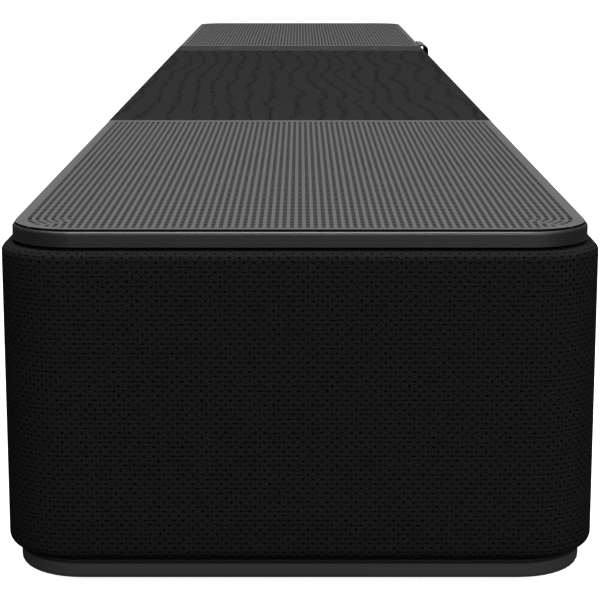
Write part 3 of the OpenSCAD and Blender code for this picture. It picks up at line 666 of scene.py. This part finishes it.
def crossbars():
    """The bars that divide the slots: straight across the rows, and like spokes where the rows turn."""
    far = PLATE_L / 2 - SLOT_END
    count = round((far - SLOT_START + BAR_W) / BAR_PITCH)
    pitch = (far - SLOT_START + BAR_W) / count
    half_z = (SHEET_T - BAR_DROP) / 2 - 0.1 * MM
    z = TOP_Z - BAR_DROP - half_z
    widest = SLOT_ROWS * SLOT_PITCH + SLOT_W
    boxes = []
    for k in range(1, count):
        x = SLOT_START - BAR_W / 2 + k * pitch
        past = x - TURN_X
        half_y = widest if past < 0 else TURN_Y + SLOT_PITCH + max(past - STUB_GAP, 0)
        boxes.append(((x, 0, z), (BAR_W / 2, half_y, half_z)))
    outer_r = widest - TURN_Y
    for spoke in range(SPOKES):
        angle = math.radians(SPOKE_START + SPOKE_STEP * spoke)
        inner_r = SPOKE_INNER[spoke % 2]
        reach = (inner_r + outer_r) / 2
        for end in SIDES:
            centre = (TURN_X + reach * math.sin(angle), end * (TURN_Y + reach * math.cos(angle)), z)
            boxes.append((centre, (BAR_W / 2, (outer_r - inner_r) / 2, half_z), -end * angle))
    return boxes_piece("bars", boxes)


def grille(side, node):
    """A painted sheet with rows of slots; its slot walls and the bars' sides carry painted shade, the bars'
    tops a lighter copy of the paint as painted light, and its cut edge black as painted shade; the left one
    mirrors the right one.
    """
    half = PLATE_D / 2 - RIM_W
    end = [p for p in outline(PLATE_L, PLATE_D, PLATE_R, -RIM_W) if p[0] > GRILLE_X]
    end.sort(key=lambda p: math.atan2(p[1], p[0]))
    loop = [(GRILLE_X, -half)] + end + [(GRILLE_X, half)]
    sheet = sheet_plate(node + "_sheet", [loop] + slot_loops(), SHEET_Z, TOP_Z, SLOT_EDGE)
    paint(sheet, MATERIALS["grille_paint"])

    def on_rim(centre, normal):
        outside = abs(centre.y) > half - 0.04 * MM or centre.x > rim_reach(centre.y, RIM_W + 0.05 * MM)
        return outside and abs(normal.z) < 0.5

    # The sheet's upright faces, the slot walls among them, are painted dark as painted shade.
    paint_faces(sheet, SLOT_PAINTED_SHADE, lambda centre, normal: abs(normal.z) < 0.5)
    # The outer cut edge along the rim is painted black as painted shade.
    paint_faces(sheet, SHEET_EDGE_PAINTED_SHADE, on_rim)
    # The bars get a lighter copy of the grille paint: painted light on their tops.
    bars = paint(crossbars(), BAR_TOP_PAINTED_LIGHT)
    # The bars' sides are painted dark as painted shade.
    paint_faces(bars, SLOT_PAINTED_SHADE, lambda centre, normal: abs(normal.z) < 0.5)
    joined(sheet, bars)
    if side < 0:
        sheet.data.transform(Matrix.Scale(-1, 4, (1, 0, 0)))
        sheet.data.flip_normals()
    stands_for(sheet, node)
    return sheet


def wood_panel():
    size = size_of("wood_panel")
    middle = (WOOD_LOW.x + WOOD_HIGH.x) / 2
    loop = shifted(outline(size[0], size[1], 0.3 * MM, 0, 3), middle, 0)
    panel = paint(sheet_plate("wood_top", [loop], SHEET_Z, TOP_Z, WOOD_EDGE), MATERIALS["stained_wood"])
    # The wood's upright edges are painted black: painted shade for the dark line along them.
    paint_faces(panel, SHEET_EDGE_PAINTED_SHADE, lambda centre, normal: abs(normal.z) < 0.3)
    stands_for(panel, "wood_panel")
    return panel


def button_middle(node):
    low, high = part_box(node)
    return (low.x + high.x) / 2, (low.y + high.y) / 2


def control_strip():
    size = size_of("control_strip")
    middle = (STRIP_LOW.x + STRIP_HIGH.x) / 2
    loops = [shifted(outline(size[0], size[1], 0.3 * MM, 0, 3), middle, 0)]
    for node in BUTTONS:
        hole = outline(BUTTON_W, BUTTON_W, BUTTON_R, BUTTON_GAP, 8)
        loops.append(shifted(hole, *button_middle(node)))
    strip = sheet_plate("strip_top", loops, SHEET_Z, TOP_Z, STRIP_EDGE)
    paint(strip, MATERIALS["strip_plastic"])
    stands_for(strip, "control_strip")
    return strip


def mark(kind):
    """A small generic sign's closed outlines round the origin."""
    stroke, reach = 0.3 * MM, 2.2 * MM
    if kind == "minus":
        return [rectangle(-reach, reach, -stroke, stroke)]
    if kind == "plus":
        quarter = [(stroke, stroke), (reach, stroke), (reach, -stroke)]
        turns = [Matrix.Rotation(math.radians(-90 * k), 2) for k in range(4)]
        return [[tuple(turn @ Vector(point)) for turn in turns for point in quarter]]
    if kind == "source":
        dot = rectangle(-0.45 * MM, 0.45 * MM, -0.45 * MM, 0.45 * MM)
        return [shifted(dot, step * 1.9 * MM, 0) for step in (-1, 0, 1)]
    centre = (0, -0.2 * MM)
    ring = arc(centre, 2.6 * MM, 130, 410, 24) + arc(centre, 2.0 * MM, 410, 130, 24)
    return [ring, rectangle(-stroke, stroke, 0.4 * MM, 2.8 * MM)]


def button(node):
    """A flush key cap with a printed sign."""
    body, kind = BUTTONS[node]
    low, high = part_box(node)
    x, y = button_middle(node)
    shoulder = low.z + BUTTON_LIP
    profile = [(BUTTON_LIP, low.z + 0.2 * MM), (BUTTON_LIP, shoulder), (0, shoulder)]
    profile += arc((-BUTTON_EDGE, high.z - BUTTON_EDGE), BUTTON_EDGE, 0, 90, 3)
    profile += [(-0.3 * MM, high.z), (-2.8 * MM, high.z - BUTTON_DISH)]
    cap = capped(node + "_cap", (BUTTON_W, BUTTON_W, BUTTON_R), profile)
    cap.data.transform(Matrix.Translation((x, y, 0)))
    paint(cap, MATERIALS["strip_plastic"])
    loops = [shifted(loop, x, y) for loop in mark(kind)]
    sign = sheet_plate(node + "_sign", loops, high.z - 0.05 * MM, high.z - 0.01 * MM, 0.005 * MM)
    stands_for(joined(cap, paint(sign, KEY_PRINT)), node, body)
    return cap


def badge_tab():
    """A folded metal tab over the plate's front edge: grey on top, black elsewhere."""
    top, front = TAB_HIGH.z, -TAB_LOW.y
    root = PLATE_D / 2 - RIM_W
    foot_z = SHEET_Z - TAB_FOOT
    centre = (front - TAB_BEND, top - TAB_BEND)
    outer = [(root, foot_z), (root, top)] + arc(centre, TAB_BEND, 90, 0, 8) + [(front, TAB_LOW.z)]
    inner = [(front - TAB_T, TAB_LOW.z)] + arc(centre, TAB_BEND - TAB_T, 0, 90, 8)
    inner += [(root + TAB_T, top - TAB_T), (root + TAB_T, foot_z)]
    section = outer + inner
    points = [(x, -y, z) for x in (TAB_LOW.x, TAB_HIGH.x) for y, z in section]
    count = len(section)
    faces = ring_faces(2, count, closed=False)
    strips = [(k, k + 1, count - 2 - k, count - 1 - k) for k in range(count // 2 - 1)]
    faces += strips + [tuple(i + count for i in strip) for strip in strips]
    tab = mesh_piece("badge_tab_fold", points, faces)
    soften(tab, 0.12 * MM)
    paint(tab, TAB_BLACK)
    top_side = top - TAB_T / 2
    paint_faces(tab, MATERIALS["tab_metal"], lambda middle, normal: normal.z > 0.6 and middle.z > top_side)
    stands_for(tab, "badge_tab")
    return tab


def soften(piece, width):
    """Rounds a piece's sharp edges."""
    modifier = piece.modifiers.new("soften", "BEVEL")
    modifier.width = width
    modifier.segments = 2
    modifier.limit_method = "ANGLE"
    modifier.angle_limit = math.radians(40)
    modifier.harden_normals = False


# ---------- CAD nodes that keep their shape ----------

def dress_frame():
    """Gives every CAD node that stays in view its slot's material."""
    for name, node in frame["nodes"].items():
        slot_name = NODE_SLOTS[name]
        paint(node, MATERIALS[slot_name])


# ---------- floor, light and camera ----------

def floor():
    reach = 12
    points = [(x, y, 0) for x, y in rectangle(-reach, reach, -reach, reach)]
    ground = mesh_piece("floor", points, [(0, 1, 2, 3)])
    material, tree, shader = new_material("floor_paper", Roughness=0.9, Specular_IOR_Level=0.1)
    shader.inputs["Emission Color"].default_value = (1, 1, 1, 1)
    shader.inputs["Emission Strength"].default_value = 0.94
    fibre = noise(tree, place(tree), 60, 3)
    tree.links.new(shade(tree, fibre, 0.88, 0.92), shader.inputs["Base Color"])
    paint(ground, material)
    ground.visible_diffuse = False
    ground.visible_glossy = False


def softbox(name, at, target, size, power):
    data = bpy.data.lights.new(name, "AREA")
    data.shape = "RECTANGLE"
    data.size, data.size_y = size
    data.energy = power
    light = bpy.data.objects.new(name, data)
    light.location = at
    light.rotation_euler = (Vector(target) - Vector(at)).to_track_quat("-Z", "Y").to_euler()
    bpy.context.scene.collection.objects.link(light)


def lights():
    world = bpy.data.worlds.new("studio")
    world.use_nodes = True
    background = world.node_tree.nodes["Background"]
    background.inputs["Color"].default_value = (1, 1, 1, 1)
    background.inputs["Strength"].default_value = 0.06
    bpy.context.scene.world = world
    softbox("overhead", (-0.15, 0, 2.1), (0, 0, 0), (0.9, 0.9), 41)
    softbox("front_card", (-1.4, -0.3, 0.6), (-0.35, 0, 0.05), (0.9, 0.6), 6.5)


def camera():
    """The view along the bar from its left end, a little above the plate."""
    data = bpy.data.cameras.new("view")
    data.lens = 103.6
    data.sensor_width = 36
    data.shift_y = -0.1254
    data.clip_start = 0.01
    holder = bpy.data.objects.new("view", data)
    holder.location = (TRIM_LOW.x - CAMERA_BACK, 0, TOP_Z + CAMERA_UP)
    holder.rotation_euler = (math.pi / 2 - CAMERA_TILT, 0, -math.pi / 2)
    bpy.context.scene.collection.objects.link(holder)
    bpy.context.scene.camera = holder


bpy.context.scene.view_settings.view_transform = "Standard"
camera()
lights()
floor()
cloth_wrap()
grille(-1, "left_grille")
grille(1, "right_grille")
wood_panel()
control_strip()
for key in BUTTONS:
    button(key)
badge_tab()
dress_frame()
